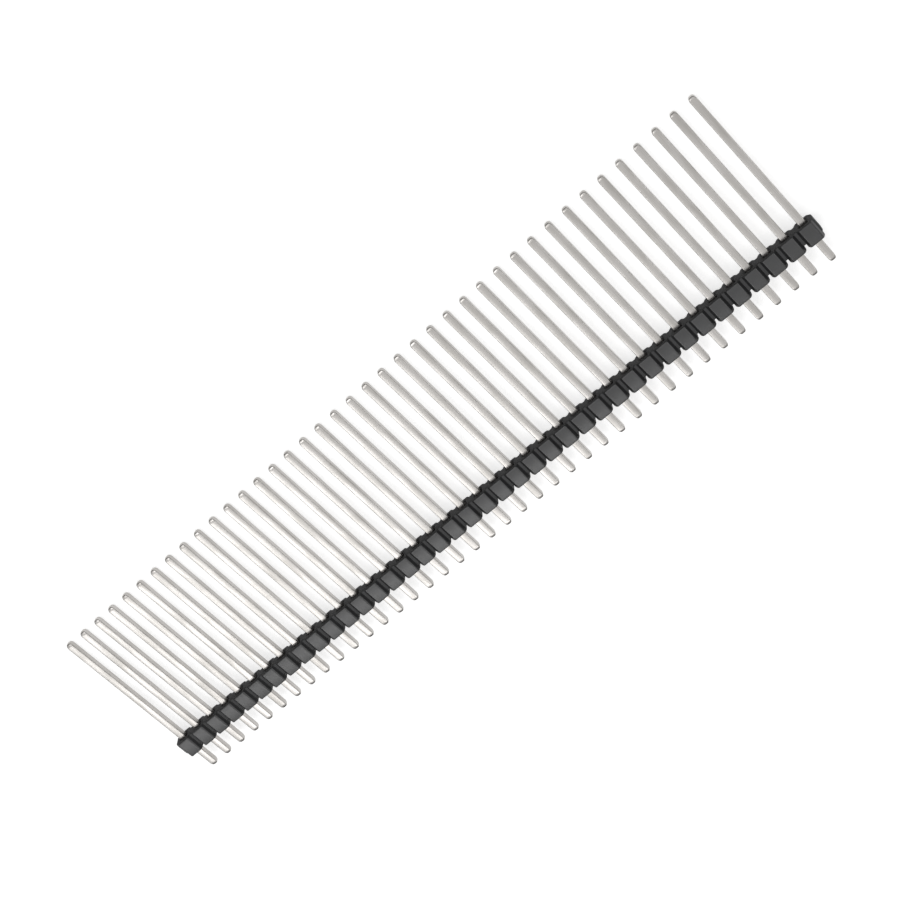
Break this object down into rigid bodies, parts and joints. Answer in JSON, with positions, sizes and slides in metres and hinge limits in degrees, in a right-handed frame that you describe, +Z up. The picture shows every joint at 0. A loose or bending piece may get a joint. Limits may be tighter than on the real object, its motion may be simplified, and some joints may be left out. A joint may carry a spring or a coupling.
{
  "type": "pin header strip",
  "caption": "Single-row break-apart pin header strip, black plastic housing blocks with long square silver posts and short solder tails.",
  "frame": {"origin": "under the middle of the strip's box, on the surface that the strip lies on", "axes": "+X along the row, +Y along the long contact ends, +Z up, away from the surface that the strip lies on"},
  "size_m": [0.1016, 0.025, 0.0025],
  "materials": {
    "housing": "moulded glass-filled thermoplastic, charcoal black, low sheen",
    "pins": "drawn brass wire with bright tin plate, silver grey, smooth"
  },
  "bodies": {
    "root": {"housing": "housing", "pin_01": "pins", "pin_02": "pins", "pin_03": "pins", "pin_04": "pins", "pin_05": "pins", "pin_06": "pins", "pin_07": "pins", "pin_08": "pins", "pin_09": "pins", "pin_10": "pins", "pin_11": "pins", "pin_12": "pins", "pin_13": "pins", "pin_14": "pins", "pin_15": "pins", "pin_16": "pins", "pin_17": "pins", "pin_18": "pins", "pin_19": "pins", "pin_20": "pins", "pin_21": "pins", "pin_22": "pins", "pin_23": "pins", "pin_24": "pins", "pin_25": "pins", "pin_26": "pins", "pin_27": "pins", "pin_28": "pins", "pin_29": "pins", "pin_30": "pins", "pin_31": "pins", "pin_32": "pins", "pin_33": "pins", "pin_34": "pins", "pin_35": "pins", "pin_36": "pins", "pin_37": "pins", "pin_38": "pins", "pin_39": "pins", "pin_40": "pins"}
  },
  "joints": []
}
